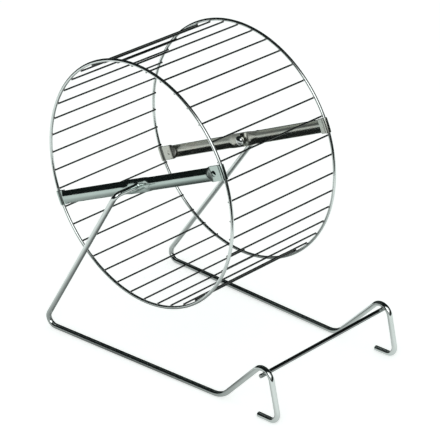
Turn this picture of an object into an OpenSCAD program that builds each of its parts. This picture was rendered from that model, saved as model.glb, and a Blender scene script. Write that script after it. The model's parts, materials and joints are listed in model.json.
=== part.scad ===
// Exercise wheel for a small rodent, bent and welded from bright steel wire.
// Millimetres. +X points to the hooks, +Y along the axle from the front side to the rear side, +Z up.
// The origin lies on the floor under the middle of the whole outline.

/* [Wheel] */
// Radius of a hoop, to the middle of its wire
hoop_r = 100; // [80:1:120]
// Diameter of the hoop wire
hoop_wire_d = 2.6; // [2:0.1:3.4]
// Distance between the middles of the two hoops
wheel_w = 113.5; // [90:0.5:118]
// Number of rungs round the wheel
rung_count = 40; // [30:1:44]
// Diameter of the rung wire
rung_wire_d = 1.4; // [1:0.1:2]
// Depth that each weld sinks a rung into its hoop
rung_bite = 0.15; // [0.05:0.05:0.3]

/* [Strips] */
// Width of the sheet metal that a strip is folded from
strip_w = 12; // [9:0.5:13]
// Thickness of the sheet metal
strip_t = 0.8; // [0.6:0.1:1]
// Height of the strip's arched back over its edges
strip_crown = 2.6; // [1:0.1:3]
// Slope of the strips across the wheel at rest, in degrees
strip_tilt = 22.2; // [0:0.1:45]
// Height that is left of the arched back round the bearing hole
hub_crown = 1.3; // [0.8:0.1:1.8]
// Length along the strip that is pressed down round the bearing hole
hub_len = 18; // [12:1:24]
// Length over which the arch rises beside the hole
hub_ramp = 8; // [5:1:12]
// Length over which the arch rises beside a folded end
end_ramp = 2.6; // [2:0.2:6]
// Wall of the collar drawn out round the bearing hole
collar_wall = 0.7; // [0.4:0.1:1.2]
// Height of the collar over the strip's outer face
collar_rise = 0.9; // [0.4:0.1:1.6]
// Slope of the sheet where it opens to go round the hoop wire, in degrees
knuckle_slope = 25; // [24:1:40]
// Flat length between the knuckle and the arch at the clinched end
clinch_flat = 9.3; // [9.3:0.1:12]
// Flat length of the leaf that is folded back at the clinched end
clinch_leaf = 10; // [9.4:0.1:14]
// Flat length between the knuckle and the arch at the plain end
plain_flat = 0.8; // [0.8:0.1:3]
// Flat length of the leaf at the plain end
plain_leaf = 3.8; // [2:0.1:6]
// Radius of the button that clinches the leaf to the strip
button_r = 2.2; // [1.6:0.1:2.2]
// Height of the button over the sheet
button_rise = 0.8; // [0.6:0.1:0.9]
// Distance from the knuckle to the middle of the button
button_run = 6.6; // [4:0.1:6.6]

/* [Stand] */
// Diameter of the stand wire
wire_d = 4.4; // [3.6:0.1:5]
// Height of the axle over the floor
axle_h = 149; // [125:1:170]
// Distance from the wheel's middle to the middle of an arm at the axle
arm_half = 80.4; // [76:0.1:90]
// Distance from the wheel's middle to a base corner, along the axle
corner_half = 74.6; // [70:0.1:80]
// Setback of the front base corner behind the axle
front_corner_back = 104; // [90:1:120]
// Setback of the rear base corner behind the axle
rear_corner_back = 114; // [90:1:125]
// Distance from the wheel's middle to the front end of a base rail
kick_half = 66.4; // [62:0.1:74]
// Reach of a base rail in front of the axle
kick_ahead = 91.8; // [80:0.1:100]
// Distance from the wheel's middle to a hook
hook_half = 67.7; // [60:0.1:74]
// Reach of the hook's top in front of the axle
hook_ahead = 143.1; // [135:0.1:160]
// Rise of the hook's top over the rail
hook_rise = 50.8; // [46:0.1:58]
// Run of the hook's leg away from the wheel, from its top to its foot
leg_run = 9.1; // [2:0.1:14]
// Length of the hook's foot
foot_len = 21; // [18:0.5:30]
// Bend radius where the axle stub turns into the arm, to the middle of the wire
arm_bend_r = 5; // [4:0.5:8]
// Bend radius of a base corner
corner_bend_r = 7; // [5:0.5:12]
// Bend radius where a base rail kicks up
kick_bend_r = 22; // [15:1:30]
// Bend radius of the hook's top
hook_bend_r = 9; // [7:0.5:12]
// Bend radius of the hook's foot
foot_bend_r = 7; // [5:0.5:9]
// Width of the bevel round a cut wire end
tip_bevel = 0.5; // [0.2:0.1:0.8]
// Diameter of the cross bar
bar_d = 3.4; // [2.6:0.1:4.4]
// Length of the cross bar that stands out beyond each side wire
bar_overhang = 2.4; // [0.5:0.1:4]

/* [Axle] */
// Gap all round between the axle stub and its bearing hole
bearing_gap = 0.08; // [0.05:0.01:0.1]
// Diameter of an axle cap
cap_d = 7.6; // [6.4:0.1:9]
// Length of an axle cap
cap_len = 4.4; // [3.6:0.1:6]
// Thickness of the cap's closed end
cap_end = 1.2; // [0.8:0.1:1.6]
// Radius of the cap's domed end
cap_dome_r = 5; // [4.6:0.1:8]
// End play between a strip and its cap
cap_play = 0.4; // [0.2:0.1:1]

/* [Hidden] */
// Gap between the folded sheet metal and the hoop wire inside it
hem_gap = 0.05;
// Gap between the leaf and the strip over it
hem_seam = 0.15;
// Overlap of the arched stretch with the hem that it runs into, and the hem's height over it all round
hem_lap = 0.6;
hem_proud = 0.03;
// Length of a rung that stands out beyond the middle of the hoop wire
rung_overhang = 0.4;
// Stretch of hoop, in degrees, that is cut out of a rung's end
cope_span = 8;
// Gap left at a weld so that its two pieces only touch
weld_gap = 0.005;
// Loss of wire diameter where it is bent, and the overlap of a bend with the straights beside it
bend_thinning = 0.04;
bend_lap = 0.05;
// Overrun of a cut past the face that it opens
cut_over = 1;
// Facets across the arch, steps along each of its ramps, and steps round a curl
arch_facets = 8;
ramp_steps = 6;
curl_steps = 14;

wire_r = wire_d / 2;
rail_z = wire_r;
hoop_wire_r = hoop_wire_d / 2;
rung_wire_r = rung_wire_d / 2;
bar_r = bar_d / 2;
foot_ahead = hook_ahead + leg_run;
rung_ring_r = hoop_r - hoop_wire_r - rung_wire_r + rung_bite;
rung_len = wheel_w + 2 * rung_overhang;
hem_in_r = hoop_wire_r + hem_gap;
hem_out_r = hem_in_r + strip_t;
strip_inner_y = wheel_w / 2 + hem_seam / 2;
knuckle_r = hoop_r + slope_end(hem_out_r, hem_seam / 2 + strip_t)[0];
clinched_end = knuckle_r - clinch_flat;
plain_end = knuckle_r - plain_flat;
hub_chord = chord(hub_crown);
cap_y = strip_inner_y + hub_crown * (1 - pow(cap_d / hub_chord, 2)) - cap_play;
stub_end_y = cap_y - cap_len + cap_end;

BEND_RADII = [arm_bend_r, corner_bend_r, kick_bend_r, hook_bend_r, foot_bend_r];

// How far the outline reaches behind and in front of the axle; the origin lies halfway.
foot_reach = foot_ahead - foot_bend_r * tan(path_turn(side_path(front_corner_back, 0), 5) / 2)
    + foot_bend_r + wire_r;
back_reach = max(hoop_r + hoop_wire_r, corner_reach(front_corner_back), corner_reach(rear_corner_back));
axle_x = (back_reach - foot_reach) / 2;

function rung_name(i) = str("rung_", i < 10 ? "0" : "", i);

$fn = 48;

// Bent wire: a path of corners, each rounded to its bend radius.

// Corners of a side wire on the -Y side, from the inner end of its axle stub to the tip of its foot.
function side_path(corner_back, ax) = [
    [ax, -stub_end_y, axle_h],
    [ax, -arm_half, axle_h],
    [ax - corner_back, -corner_half, rail_z],
    [ax + kick_ahead, -kick_half, rail_z],
    [ax + hook_ahead, -hook_half, rail_z + hook_rise],
    [ax + foot_ahead, -hook_half, rail_z],
    [ax + foot_ahead - foot_len, -hook_half, rail_z]];

function unit(v) = v / norm(v);

// Direction of travel from corner i to the next.
function heading(path, i) = unit(path[i + 1] - path[i]);

// Angle that the wire turns through at corner i.
function path_turn(path, i) = acos(heading(path, i - 1) * heading(path, i));

// Length that the bend at corner i takes from each straight beside it.
function setback(path, radii, i) =
    i == 0 || i == len(path) - 1 ? 0 : radii[i - 1] * tan(path_turn(path, i) / 2);

// Straight length between the bends at corners i and i + 1.
function feed(path, radii, i) =
    norm(path[i + 1] - path[i]) - setback(path, radii, i) - setback(path, radii, i + 1);

// Side to which the wire bends at corner i, square to the wire that comes in.
function bend_side(path, i) =
    let (in = heading(path, i - 1), out = heading(path, i)) unit(out - (out * in) * in);

// The same side once the wire has been through bend i: it has turned with the wire.
function side_after(path, i) =
    let (a = path_turn(path, i)) cos(a) * bend_side(path, i) - sin(a) * heading(path, i - 1);

// Angle that the wire is rolled about itself before bend i. The first bend is rolled from +X.
function roll(path, i) =
    let (from = i == 1 ? [1, 0, 0] : side_after(path, i - 1), to = bend_side(path, i))
    atan2(cross(from, to) * heading(path, i - 1), from * to);

// How far the rounded base corner reaches behind the axle.
function corner_reach(corner_back) =
    let (path = side_path(corner_back, 0),
         up_arm = -heading(path, 1),
         along_rail = heading(path, 2),
         half = acos(up_arm * along_rail) / 2,
         middle = path[2] + unit(up_arm + along_rail) * corner_bend_r / sin(half),
         square_x = unit(cross(up_arm, along_rail))[0])
    -middle[0] + corner_bend_r * sqrt(1 - square_x * square_x) + wire_r;

// One bend: the wire comes in along +Z and turns towards +X. It laps into the straights on both sides.
module wire_bend(radius, angle, d) {
    lap_angle = bend_lap / radius * 180 / PI;
    translate([radius, 0, 0]) rotate([-90, 0, 0]) rotate([0, 0, 180 - lap_angle])
        rotate_extrude(angle = angle + 2 * lap_angle) translate([radius, 0]) circle(d = d - bend_thinning);
}

// The rest of a bent wire from corner i on: a straight, a bend, and what follows the bend.
module wire_run(path, radii, d, i = 0) {
    straight = feed(path, radii, i);
    last = i == len(path) - 2;
    body_len = last ? straight - tip_bevel : straight;
    cylinder(d = d, h = body_len);
    if (last)
        translate([0, 0, body_len]) cylinder(d1 = d, d2 = d - 2 * tip_bevel, h = tip_bevel);
    else
        translate([0, 0, straight]) rotate([0, 0, roll(path, i + 1)]) {
            wire_bend(radii[i], path_turn(path, i + 1), d);
            translate([radii[i], 0, 0]) rotate([0, path_turn(path, i + 1), 0])
                translate([-radii[i], 0, 0]) wire_run(path, radii, d, i + 1);
        }
}

// One side of the stand: axle stub, arm, base rail, kick and hook in a single wire.
module side_wire(corner_back) {
    path = side_path(corner_back, axle_x);
    color([0.82, 0.85, 0.84]) translate(path[0]) rotate([90, 0, 0]) wire_run(path, BEND_RADII, wire_d);
}

module front_side_wire() side_wire(front_corner_back);

module rear_side_wire() mirror([0, 1, 0]) side_wire(rear_corner_back);

// The bar lies against the inside of both hook bends.
module cross_bar() {
    path = side_path(front_corner_back, axle_x);
    down_kick = -heading(path, 3);
    down_leg = heading(path, 4);
    half = acos(down_kick * down_leg) / 2;
    to_inside = unit(down_kick + down_leg);
    bend_middle = path[4] + to_inside * hook_bend_r / sin(half);
    bar_middle = bend_middle - to_inside * (hook_bend_r - wire_r - bar_r - weld_gap);
    bar_half = hook_half + wire_r + bar_overhang;
    color([0.7, 0.73, 0.72]) translate([bar_middle[0], -bar_half, bar_middle[2]]) rotate([-90, 0, 0]) {
        translate([0, 0, tip_bevel]) cylinder(d = bar_d, h = 2 * (bar_half - tip_bevel));
        cylinder(d1 = bar_d - 2 * tip_bevel, d2 = bar_d, h = tip_bevel);
        translate([0, 0, 2 * bar_half - tip_bevel])
            cylinder(d1 = bar_d, d2 = bar_d - 2 * tip_bevel, h = tip_bevel);
    }
}

// Turns about the axle: a profile's X is the radius, and its Y points out of the wheel at the front.
module about_axle() {
    translate([axle_x, 0, axle_h]) rotate([90, 0, 0]) children();
}

// Stretch of the hoop wire in the hoop's own plane.
module hoop_arc(span) {
    rotate_extrude(angle = span, $fn = 96) translate([hoop_r, 0]) circle(d = hoop_wire_d);
}

module hoop() {
    color([0.8, 0.83, 0.82]) about_axle() translate([0, 0, wheel_w / 2]) hoop_arc(360);
}

module front_hoop() hoop();

module rear_hoop() mirror([0, 1, 0]) hoop();

// Rung i lies inside both hoops, cut off just past their middles and hollowed to fit each hoop.
module rung(i) {
    color([0.6, 0.63, 0.62]) about_axle() rotate([0, 0, strip_tilt + (i - 0.5) * 360 / rung_count])
        difference() {
            translate([rung_ring_r, 0, -rung_len / 2]) cylinder(d = rung_wire_d, h = rung_len);
            for (end = [-1, 1])
                translate([0, 0, end * wheel_w / 2]) rotate([0, 0, -cope_span / 2]) hoop_arc(cope_span);
        }
}

// Width of the arched sheet: what a rise takes up, the strip loses.
function chord(rise) = strip_w - 8 / 3 * rise * rise / strip_w;

// Even rise from 0 to 1 while a goes from 0 to 1.
function ramp(a) = let (b = min(1, max(0, a))) b * b * (3 - 2 * b);

// Height of the arch at a distance s from the bearing hole: low at the hole, none at the folded ends.
function arch(s) = min(
    hub_crown + (strip_crown - hub_crown) * ramp((abs(s) - hub_len / 2) / hub_ramp),
    strip_crown * ramp((clinched_end - s) / end_ramp),
    strip_crown * ramp((plain_end + s) / end_ramp));

// One section of the strip, round its outer face and back along its inner face.
function strip_section(s) =
    let (h = arch(s), half_w = chord(h) / 2 - hem_proud, inner_y = strip_inner_y + hem_proud)
    [for (face = [1, 0], k = [0:arch_facets])
        let (u = (face == 1 ? 1 : -1) * (2 * k / arch_facets - 1))
        [s, -inner_y - face * (strip_t - 2 * hem_proud) - h * (1 - u * u), u * half_w]];

// Where the sections lie: all four ramps in even steps, and a lap with the hem at each end.
function steps(from, length) = [for (k = [0:ramp_steps]) from + length * k / ramp_steps];
STATIONS = concat(
    [-plain_end - hem_lap],
    steps(-plain_end, end_ramp),
    steps(-hub_len / 2 - hub_ramp, hub_ramp),
    steps(hub_len / 2, hub_ramp),
    steps(clinched_end - end_ramp, end_ramp),
    [clinched_end + hem_lap]);

// The strip between its two hems: the section above, carried along the wheel's diameter.
module arched_strip() {
    ring = 2 * (arch_facets + 1);
    end = ring * (len(STATIONS) - 1);
    points = [for (s = STATIONS) each strip_section(s)];
    sides = [for (j = [0:len(STATIONS) - 2], k = [0:ring - 1])
        let (a = j * ring + k, b = j * ring + (k + 1) % ring) each [[a, b, b + ring], [a, b + ring, a + ring]]];
    caps = [for (k = [0:arch_facets - 1], base = [0, end])
        let (quad = [for (i = [k, k + 1, ring - 2 - k, ring - 1 - k]) base + i])
        each base == 0 ? [[quad[3], quad[2], quad[1]], [quad[3], quad[1], quad[0]]]
            : [[quad[0], quad[1], quad[2]], [quad[0], quad[2], quad[3]]]];
    polyhedron(points = points, faces = concat(sides, caps), convexity = 6);
}

// Points on an arc of radius r about 0, 0 between two angles.
function arc_points(r, from, to) =
    [for (k = [0:curl_steps]) let (a = from + (to - from) * k / curl_steps) r * [cos(a), sin(a)]];

// Where the slope that leaves the arc of radius r comes down to the height y.
function slope_end(r, y) =
    [-r * sin(knuckle_slope) - (r * cos(knuckle_slope) - y) / tan(knuckle_slope), y];

function flipped(v) = [v[0], -v[1]];

// Profile of a hem: the strip's end, the knuckle round the hoop wire and the leaf. The hoop is at 0, 0.
module hem_profile(flat, leaf) {
    inner = hem_seam / 2;
    outer = inner + strip_t;
    knuckle_foot = slope_end(hem_out_r, outer);
    turned = 90 + knuckle_slope;
    leaf_end = knuckle_foot[0] - leaf;
    polygon(concat(
        [[knuckle_foot[0] - flat, outer], knuckle_foot],
        arc_points(hem_out_r, turned, -turned),
        [flipped(knuckle_foot), [leaf_end, -outer], [leaf_end, -inner], flipped(slope_end(hem_in_r, inner))],
        arc_points(hem_in_r, -turned, turned),
        [slope_end(hem_in_r, inner), [knuckle_foot[0] - flat, inner]]));
}

// A folded end of a strip, on the +X side of the wheel.
module hem(flat, leaf) {
    half_angle = asin(strip_w / (knuckle_r - leaf));
    intersection() {
        rotate([90, 0, 0]) rotate([0, 0, -half_angle]) rotate_extrude(angle = 2 * half_angle, $fn = 96)
            translate([hoop_r, wheel_w / 2]) hem_profile(flat, leaf);
        translate([0, -wheel_w, -strip_w / 2]) cube([2 * hoop_r, wheel_w, strip_w]);
    }
}

// Radius of the ball that gives a cap of radius r and height rise.
function ball_r(r, rise) = (r * r + rise * rise) / (2 * rise);

// The button that is raised on the strip's outer face, from the middle of the sheet upwards.
module button() {
    ball = ball_r(button_r, button_rise);
    translate([knuckle_r - button_run, -strip_inner_y - strip_t, 0]) rotate([90, 0, 0]) intersection() {
        translate([0, 0, button_rise - ball]) sphere(r = ball);
        translate([0, 0, -strip_t / 2]) cylinder(r = ball, h = strip_t / 2 + button_rise + cut_over);
    }
}

// The pit that pressing the button leaves in the leaf.
module pit() {
    depth = strip_t / 2;
    ball = ball_r(button_r, depth);
    translate([knuckle_r - button_run, -wheel_w / 2 + hem_seam / 2 + strip_t + ball - depth, 0])
        sphere(r = ball);
}

// A strip spans the wheel and holds the bearing hole for the axle stub, with a collar drawn outwards.
// Its clinched end is on the +X side.
module strip() {
    bore_r = wire_r + bearing_gap;
    collar_base = strip_inner_y + hub_crown + strip_t / 4;
    collar_end = strip_inner_y + hub_crown + strip_t + collar_rise;
    difference() {
        union() {
            arched_strip();
            hem(clinch_flat, clinch_leaf);
            mirror([1, 0, 0]) hem(plain_flat, plain_leaf);
            button();
            translate([0, -collar_base, 0]) rotate([90, 0, 0])
                cylinder(r = bore_r + collar_wall, h = collar_end - collar_base);
        }
        translate([0, -wheel_w / 2, 0]) rotate([90, 0, 0])
            cylinder(r = bore_r, h = collar_end - wheel_w / 2 + cut_over);
        pit();
    }
}

// Both strips slope alike across the wheel; the rear one is the front one turned about its own width.
module strip_in_place(turn) {
    color([0.74, 0.78, 0.76]) translate([axle_x, 0, axle_h]) rotate([0, -strip_tilt, 0])
        rotate([0, 0, turn]) strip();
}

module front_strip() strip_in_place(0);

module rear_strip() strip_in_place(180);

// Domed cap pushed on the end of the axle stub; it keeps the wheel from sliding off.
module axle_cap() {
    color([0.86, 0.88, 0.87]) translate([axle_x, -cap_y, axle_h]) rotate([-90, 0, 0])
        rotate_extrude() difference() {
            intersection() {
                square([cap_d / 2, cap_len]);
                translate([0, cap_len - cap_dome_r]) circle(r = cap_dome_r);
            }
            translate([0, -cut_over]) square([wire_r, cap_len - cap_end + cut_over]);
        }
}

module front_axle_cap() axle_cap();

module rear_axle_cap() mirror([0, 1, 0]) axle_cap();

front_hoop();
rear_hoop();
front_strip();
rear_strip();
for (i = [1:rung_count])
    rung(i);
front_side_wire();
rear_side_wire();
cross_bar();
front_axle_cap();
rear_axle_cap();
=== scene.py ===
"""Exercise wheel for a small rodent, dressed for its portrait: chromed wire and folded strips.

Each piece is a surface worked out as whole arrays, in metres, in the same frame as the solids:
+X to the hooked feet, +Y along the axle from the front side to the rear side, +Z up.
"""

import json
import logging
from dataclasses import dataclass, field, replace
from enum import Enum

import bpy
import numpy as np
from mathutils import Matrix


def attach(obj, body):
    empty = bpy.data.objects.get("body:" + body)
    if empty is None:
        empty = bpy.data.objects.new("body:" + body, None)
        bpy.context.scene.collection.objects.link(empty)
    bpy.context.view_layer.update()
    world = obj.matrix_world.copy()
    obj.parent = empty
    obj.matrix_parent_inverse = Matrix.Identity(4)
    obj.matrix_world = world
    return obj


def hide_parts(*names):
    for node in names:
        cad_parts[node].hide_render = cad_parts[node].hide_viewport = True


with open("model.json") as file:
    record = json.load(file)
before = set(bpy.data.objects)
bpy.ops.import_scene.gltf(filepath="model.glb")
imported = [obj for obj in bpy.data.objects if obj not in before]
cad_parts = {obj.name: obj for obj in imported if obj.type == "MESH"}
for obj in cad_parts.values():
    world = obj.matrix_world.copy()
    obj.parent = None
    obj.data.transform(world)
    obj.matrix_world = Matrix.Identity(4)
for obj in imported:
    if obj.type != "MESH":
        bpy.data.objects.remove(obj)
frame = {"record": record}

log = logging.getLogger("exercise_wheel")

MM = 0.001
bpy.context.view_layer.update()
AXLE = np.array(frame["record"]["behaviour"]["joints"][0]["pos_m"])
X_WAY, Y_WAY, Z_WAY = np.eye(3)

Colour = tuple[float, float, float]


class Side(Enum):
    """Side of the object, with the sign of its Y."""

    FRONT = -1
    REAR = 1

    @property
    def word(self) -> str:
        """Word that starts the names of this side's pieces."""
        return self.name.lower()


class Body(Enum):
    """Rigid body that a piece rides on."""

    STAND = "stand"
    WHEEL = "wheel"


class Slot(Enum):
    """Material slot in the record, named by each piece."""

    STAND_WIRE = "stand_wire"
    WHEEL_WIRE = "wheel_wire"
    STRIP_SHEET = "strip_sheet"
    CAP_METAL = "cap_metal"


# Arrays and surfaces


def unit(vectors: np.ndarray) -> np.ndarray:
    """Directions of one vector, or of those in the rows: each divided by its length."""
    return vectors / np.linalg.norm(vectors, axis=-1, keepdims=True)


def travelled(points: np.ndarray) -> np.ndarray:
    """Distance from the first point to each, along the row."""
    steps = np.linalg.norm(np.diff(points, axis=0), axis=1)
    return np.concatenate([[0], np.cumsum(steps)])


def ease(share: np.ndarray) -> np.ndarray:
    """Smooth ramp 3b^2 - 2b^3, where b is the share held between 0 and 1."""
    b = np.clip(share, 0, 1)
    return b * b * (3 - 2 * b)


def round_axle(angle: np.ndarray) -> tuple[np.ndarray, np.ndarray]:
    """Directions out from the axle, at angles from +X up to +Z, and those of travel round it."""
    out = np.stack([np.cos(angle), np.zeros_like(angle), np.sin(angle)], axis=1)
    return out, np.stack([-out[:, 2], out[:, 1], out[:, 0]], axis=1)


@dataclass
class Surface:
    """Closed surface: points, faces, and what the finish reads at each point."""

    points: np.ndarray
    quads: np.ndarray
    triangles: np.ndarray
    along: np.ndarray
    cut: np.ndarray

    def faces_out(self) -> "Surface":
        """Turn the faces outwards.

        The volume is the sum of the signed tetrahedra from the origin to each face. Where it is
        negative, every face is read backwards.

        Returns:
            This surface, facing out.
        """
        halves = np.concatenate([self.quads[:, [0, 1, 2]], self.quads[:, [0, 2, 3]], self.triangles])
        a, b, c = (self.points[halves[:, k]] for k in range(3))
        if np.sum(a * np.cross(b, c)) < 0:
            self.quads = self.quads[:, ::-1]
            self.triangles = self.triangles[:, ::-1]
        return self


def grid_quads(rows: int, columns: int, rows_close: bool, columns_close: bool) -> np.ndarray:
    """Faces of a grid whose point (i, j) has the number i * columns + j.

    Args:
        rows: Number of rows.
        columns: Number of columns.
        rows_close: Whether the last row joins the first.
        columns_close: Whether the last column joins the first.

    Returns:
        Four point numbers for each face.
    """
    i = np.arange(rows if rows_close else rows - 1)[:, None]
    j = np.arange(columns if columns_close else columns - 1)[None, :]
    near, far = i * columns, (i + 1) % rows * columns
    left, right = j, (j + 1) % columns
    corners = np.broadcast_arrays(near + left, near + right, far + right, far + left)
    return np.stack(corners, axis=-1).reshape(-1, 4)


def end_fans(rings: int, sides: int) -> np.ndarray:
    """Faces that close both ends of a tube's grid, with two points that follow the grid's own.

    Args:
        rings: Number of rings.
        sides: Number of points round a ring.

    Returns:
        Three point numbers for each face, turned as the grid's faces are.
    """
    around = np.arange(sides)
    after = (around + 1) % sides
    pole, last = np.full(sides, rings * sides), (rings - 1) * sides
    first_fan = np.stack([around, pole, after], axis=1)
    last_fan = np.stack([last + after, pole + 1, last + around], axis=1)
    return np.concatenate([first_fan, last_fan])


def tube(
    path: np.ndarray,
    headings: np.ndarray,
    radii: np.ndarray,
    sides: int,
    beside: np.ndarray,
    closed: bool = False,
    cut: np.ndarray | None = None,
) -> Surface:
    """Carry a circle along a path.

    Point (i, j) is path[i] + radii[i] * (cos a * u + sin a * v), where a is the j-th share of a
    full turn, u is square to the heading and to the direction beside it, and v to both.

    Args:
        path: Middle of each ring.
        headings: Direction of travel at each ring.
        radii: Radius of each ring.
        sides: Number of points round a ring.
        beside: Direction that no heading is parallel to.
        closed: Whether the last ring joins the first.
        cut: How far each ring belongs to a sawn face, from 0 to 1.

    Returns:
        The tube, with a fan on each end unless it is closed.
    """
    u = unit(np.cross(headings, beside))
    v = np.cross(headings, u)
    angle = np.linspace(0, 2 * np.pi, sides, endpoint=False)
    ring = np.cos(angle)[None, :, None] * u[:, None, :] + np.sin(angle)[None, :, None] * v[:, None, :]
    points = (path[:, None, :] + radii[:, None, None] * ring).reshape(-1, 3)
    travel = travelled(path)
    around = angle / (2 * np.pi)
    along = np.stack(np.broadcast_arrays(travel[:, None], around[None, :]), axis=-1).reshape(-1, 2)
    shares = np.repeat(np.zeros(len(path)) if cut is None else cut, sides)
    triangles = np.zeros((0, 3), dtype=int)
    if not closed:
        triangles = end_fans(len(path), sides)
        points = np.concatenate([points, path[[0, -1]]])
        along = np.concatenate([along, [[0, 0], [travel[-1], 0]]])
        shares = np.concatenate([shares, shares[[0, -1]]])
    quads = grid_quads(len(path), sides, closed, True)
    return Surface(points, quads, triangles, along, shares).faces_out()


@dataclass
class Route:
    """Wire's middle line: straights joined by arcs, read by the distance along it."""

    corners: np.ndarray
    bend_radii: list[float]
    grain: float = 0.1 * MM

    def __post_init__(self) -> None:
        """Lay out fine points along the whole line.

        At each corner the arc starts the radius times the tangent of half the turn before it. Its
        points are centre - side * radius * cos a + heading * radius * sin a, with a from none to
        the turn.
        """
        headings = unit(np.diff(self.corners, axis=0))
        laid = [self.corners[:1]]
        for corner, radius, before, after in zip(
            self.corners[1:-1], self.bend_radii, headings[:-1], headings[1:]
        ):
            turn = np.arccos(before @ after)
            start = corner - before * radius * np.tan(turn / 2)
            centre = corner + unit(after - before) * radius / np.cos(turn / 2)
            side = unit(centre - start)
            a = np.linspace(0, turn, int(turn * radius / self.grain) + 2)[:, None]
            laid.append(centre - side * radius * np.cos(a) + before * radius * np.sin(a))
        laid.append(self.corners[-1:])
        self.points = np.concatenate(laid)
        self.travel = travelled(self.points)

    @property
    def length(self) -> float:
        """Whole length of the wire."""
        return float(self.travel[-1])

    def at(self, distance: np.ndarray) -> np.ndarray:
        """Places at the given distances from the start."""
        return np.stack([np.interp(distance, self.travel, self.points[:, k]) for k in range(3)], axis=1)

    def heading(self, distance: np.ndarray) -> np.ndarray:
        """Directions at the given distances, from places a little before and after."""
        behind, ahead = (np.clip(distance + step, 0, self.length) for step in (-self.grain, self.grain))
        return unit(self.at(ahead) - self.at(behind))


def crosswise(middle: np.ndarray, reach: float) -> Route:
    """Straight route along the axle's direction, as far to both sides of its middle."""
    return Route(np.stack([middle - reach * Y_WAY, middle + reach * Y_WAY]), [])


def cut_wire(
    route: Route,
    radius: float,
    bevel: float,
    step: float,
    sides: int,
    beside: np.ndarray = X_WAY,
) -> Surface:
    """Carry a wire of one thickness along a route, with a rounded bevel on both cut ends.

    Near an end, at a distance d less than the bevel, the radius is
    radius - bevel + sqrt(bevel^2 - (bevel - d)^2). A sawn face closes each end, with two rings at
    shares of its own radius.

    Args:
        route: Middle line of the wire.
        radius: Radius of the wire.
        bevel: Width of the rounding round each cut end.
        step: Distance between rings on the long stretch.
        sides: Number of points round the wire.
        beside: Direction that the wire never runs in.

    Returns:
        The closed wire.
    """
    bevel_rings, face_shares = 5, np.array([0.3, 0.85])
    turned = bevel * (1 - np.cos(np.linspace(0, np.pi / 2, bevel_rings, endpoint=False)))
    count = int(np.ceil((route.length - 2 * bevel) / step)) + 1
    body = np.linspace(bevel, route.length - bevel, count)
    start = np.concatenate([np.zeros(2), turned])
    distance = np.concatenate([start, body, route.length - start[::-1]])
    end_gap = np.clip(bevel - np.minimum(distance, route.length - distance), 0, bevel)
    face = radius - bevel
    radii = face + np.sqrt(bevel**2 - end_gap**2)
    radii[:2], radii[-2:] = face_shares * face, face_shares[::-1] * face
    cut = np.zeros(len(distance))
    cut[[0, 1, -2, -1]] = 1
    return tube(route.at(distance), route.heading(distance), radii, sides, beside, cut=cut)


def turned_piece(profile: np.ndarray, start: np.ndarray, axis: np.ndarray, sides: int) -> Surface:
    """Turn a profile about an axis, as on a lathe.

    Args:
        profile: Height along the axis and radius, one row for each ring.
        start: Point on the axis at height 0.
        axis: Direction of the axis.
        sides: Number of points round the axis.

    Returns:
        The closed piece.
    """
    path = start + profile[:, :1] * axis
    headings = np.broadcast_to(axis, path.shape)
    return tube(path, headings, profile[:, 1], sides, X_WAY)


def beads(centres: np.ndarray, axes: np.ndarray, radii: tuple[float, float, float]) -> Surface:
    """Place the same small squashed ball at many places.

    Point (i, j) of a ball is its centre plus the sum of radius k times share k times axis k, where
    the shares are cos j sin i, sin j sin i and cos i, with i from pole to pole and j all round.

    Args:
        centres: Middle of each ball.
        axes: Three directions for each ball.
        radii: Radius of the balls along each of the three directions.

    Returns:
        All balls as one surface.
    """
    rings, sides = 7, 14
    i = np.linspace(0, np.pi, rings + 2)[1:-1, None]
    j = np.linspace(0, 2 * np.pi, sides, endpoint=False)[None, :]
    ball = np.broadcast_arrays(np.cos(j) * np.sin(i), np.sin(j) * np.sin(i), np.cos(i))
    shares = np.concatenate([np.stack(ball, axis=-1).reshape(-1, 3), [[0, 0, 1], [0, 0, -1]]])
    points = centres[:, None, :] + np.einsum("pk,nkx->npx", shares * np.array(radii), axes)
    shift = (np.arange(len(centres)) * len(shares))[:, None, None]
    quads = (grid_quads(rings, sides, False, True)[None] + shift).reshape(-1, 4)
    triangles = (end_fans(rings, sides)[None] + shift).reshape(-1, 3)
    flat = points.reshape(-1, 3)
    return Surface(flat, quads, triangles, flat[:, :2].copy(), np.zeros(len(flat))).faces_out()


# Finishes

Given = bpy.types.NodeSocket | float | Colour | np.ndarray

# Noise lies nearly all between the low and the high value. Scales are repeats per metre.
NOISE_LOW = 0.3
NOISE_HIGH = 0.7
FILM_SCALE = 55.0
SPECK_SCALE = 900.0
SPECK_SHARE = 0.4
WHITE = (1.0, 1.0, 1.0)


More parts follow.
